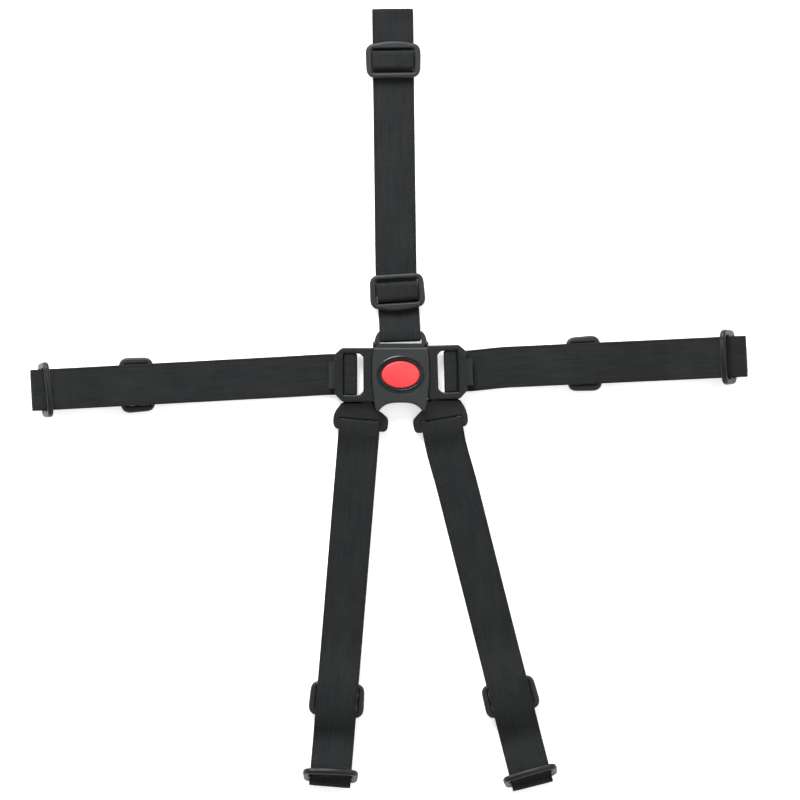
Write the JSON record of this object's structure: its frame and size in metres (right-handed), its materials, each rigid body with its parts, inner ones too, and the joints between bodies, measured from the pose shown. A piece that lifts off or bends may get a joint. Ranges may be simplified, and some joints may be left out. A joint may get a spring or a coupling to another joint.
{
  "type": "child safety harness",
  "caption": "Child safety harness laid flat: central press-button buckle, plug-in side tongues with shoulder clips, woven webbing straps and sliding strap adjusters.",
  "frame": {"origin": "centre of the buckle's back face, under the release button", "axes": "+Y along the crotch strap, away from the buckle; +X to the right as seen from the front; +Z out of the front"},
  "size_m": [0.4342, 0.4747, 0.0236],
  "materials": {
    "black_plastic": "satin moulded plastic, dark grey",
    "slider_plastic": "satin moulded plastic, dark grey",
    "coral_plastic": "satin coral red",
    "spring_steel": "bright spring steel",
    "webbing": "fine-ribbed woven polyester, black"
  },
  "bodies": {
    "buckle": {"buckle_front_cover": "black_plastic", "buckle_back_cover": "black_plastic", "button_spring": "spring_steel", "latch_leaf": "spring_steel"},
    "release_button": {"release_button": "coral_plastic"},
    "tongue_left": {"tongue_left": "black_plastic"},
    "tongue_right": {"tongue_right": "black_plastic"},
    "shoulder_clip_left": {"shoulder_clip_left": "black_plastic"},
    "shoulder_clip_right": {"shoulder_clip_right": "black_plastic"},
    "strap_waist_left": {"webbing_waist_left": "webbing"},
    "adjuster_waist_left": {"adjuster_waist_left": "slider_plastic"},
    "end_slider_waist_left": {"end_slider_waist_left": "slider_plastic"},
    "strap_waist_right": {"webbing_waist_right": "webbing"},
    "adjuster_waist_right": {"adjuster_waist_right": "slider_plastic"},
    "end_slider_waist_right": {"end_slider_waist_right": "slider_plastic"},
    "strap_shoulder_left": {"webbing_shoulder_left": "webbing"},
    "adjuster_shoulder_left": {"adjuster_shoulder_left": "slider_plastic"},
    "end_slider_shoulder_left": {"end_slider_shoulder_left": "slider_plastic"},
    "strap_shoulder_right": {"webbing_shoulder_right": "webbing"},
    "adjuster_shoulder_right": {"adjuster_shoulder_right": "slider_plastic"},
    "end_slider_shoulder_right": {"end_slider_shoulder_right": "slider_plastic"},
    "strap_crotch": {"webbing_crotch": "webbing"},
    "slider_crotch_lower": {"slider_crotch_lower": "slider_plastic"},
    "slider_crotch_upper": {"slider_crotch_upper": "slider_plastic"}
  },
  "joints": [
    {"name": "button_press", "type": "slide", "parent": "buckle", "child": "release_button", "axis": [0, 0, -1], "range_m": [0, 0.0022], "stiffness_N_per_m": 600, "springref_m": -0.002, "deforming": ["button_spring", "latch_leaf"]},
    {"name": "tongue_left_pull", "type": "slide", "parent": "buckle", "child": "tongue_left", "axis": [-1, 0, 0], "range_m": [0, 0.026]},
    {"name": "tongue_right_pull", "type": "slide", "parent": "buckle", "child": "tongue_right", "axis": [0.9997, 0.0262, 0], "range_m": [0, 0.026]},
    {"name": "shoulder_clip_left_slide", "type": "slide", "parent": "tongue_left", "child": "shoulder_clip_left", "axis": [0, -1, 0], "range_m": [0, 0.0145]},
    {"name": "shoulder_clip_right_slide", "type": "slide", "parent": "tongue_right", "child": "shoulder_clip_right", "axis": [0.0262, -0.9997, 0], "range_m": [0, 0.0145]},
    {"name": "strap_waist_left_swing", "type": "hinge", "parent": "tongue_left", "child": "strap_waist_left", "pos_m": [-0.0441, 0.00016, 0.0045], "axis": [-0.0346, 0.9994, 0], "range_deg": [0, 80], "deforming": ["webbing_waist_left"]},
    {"name": "adjuster_waist_left_shift", "type": "slide", "parent": "strap_waist_left", "child": "adjuster_waist_left", "axis": [-0.9985, -0.0541, 0], "range_m": [-0.07, 0.022]},
    {"name": "end_slider_waist_left_tilt", "type": "hinge", "parent": "strap_waist_left", "child": "end_slider_waist_left", "pos_m": [-0.21475, -0.00909, 0.0113], "axis": [-0.0976, 0.9952, 0], "range_deg": [-30, 15]},
    {"name": "strap_waist_right_swing", "type": "hinge", "parent": "tongue_right", "child": "strap_waist_right", "pos_m": [0.04403, 0.00277, 0.0045], "axis": [0.1246, -0.9922, 0], "range_deg": [0, 80], "deforming": ["webbing_waist_right"]},
    {"name": "adjuster_waist_right_shift", "type": "slide", "parent": "strap_waist_right", "child": "adjuster_waist_right", "axis": [0.9993, 0.0384, 0], "range_m": [-0.03, 0.04]},
    {"name": "end_slider_waist_right_tilt", "type": "hinge", "parent": "strap_waist_right", "child": "end_slider_waist_right", "pos_m": [0.19804, 0.01067, 0.0113], "axis": [0.0384, -0.9993, 0], "range_deg": [-40, 6]},
    {"name": "strap_shoulder_left_swing", "type": "hinge", "parent": "shoulder_clip_left", "child": "strap_shoulder_left", "pos_m": [-0.025, -0.0306, 0.00405], "axis": [-0.9966, 0.0819, 0], "range_deg": [0, 80], "deforming": ["webbing_shoulder_left"]},
    {"name": "adjuster_shoulder_left_shift", "type": "slide", "parent": "strap_shoulder_left", "child": "adjuster_shoulder_left", "axis": [-0.0819, -0.9966, 0], "range_m": [-0.095, 0.016]},
    {"name": "end_slider_shoulder_left_tilt", "type": "hinge", "parent": "strap_shoulder_left", "child": "end_slider_shoulder_left", "pos_m": [-0.04242, -0.24249, 0.0113], "axis": [-0.9966, 0.0819, 0], "range_deg": [-35, 9]},
    {"name": "strap_shoulder_right_swing", "type": "hinge", "parent": "shoulder_clip_right", "child": "strap_shoulder_right", "pos_m": [0.0251, -0.0302, 0.00405], "axis": [-0.9863, -0.165, 0], "range_deg": [0, 80], "deforming": ["webbing_shoulder_right"]},
    {"name": "adjuster_shoulder_right_shift", "type": "slide", "parent": "strap_shoulder_right", "child": "adjuster_shoulder_right", "axis": [0.2453, -0.9694, 0], "range_m": [-0.098, 0.018]},
    {"name": "end_slider_shoulder_right_tilt", "type": "hinge", "parent": "strap_shoulder_right", "child": "end_slider_shoulder_right", "pos_m": [0.07851, -0.24255, 0.0113], "axis": [-0.9627, -0.2706, 0], "range_deg": [-35, 9]},
    {"name": "strap_crotch_swing", "type": "hinge", "parent": "buckle", "child": "strap_crotch", "pos_m": [-0.0004, 0.0234, 0.004], "axis": [0.9998, 0.0192, 0], "range_deg": [0, 80], "deforming": ["webbing_crotch"]},
    {"name": "slider_crotch_lower_shift", "type": "slide", "parent": "strap_crotch", "child": "slider_crotch_lower", "axis": [-0.0192, 0.9998, 0], "range_m": [-0.003, 0.04]},
    {"name": "slider_crotch_upper_shift", "type": "slide", "parent": "strap_crotch", "child": "slider_crotch_upper", "axis": [-0.0192, 0.9998, 0], "range_m": [-0.04, 0.008]}
  ]
}
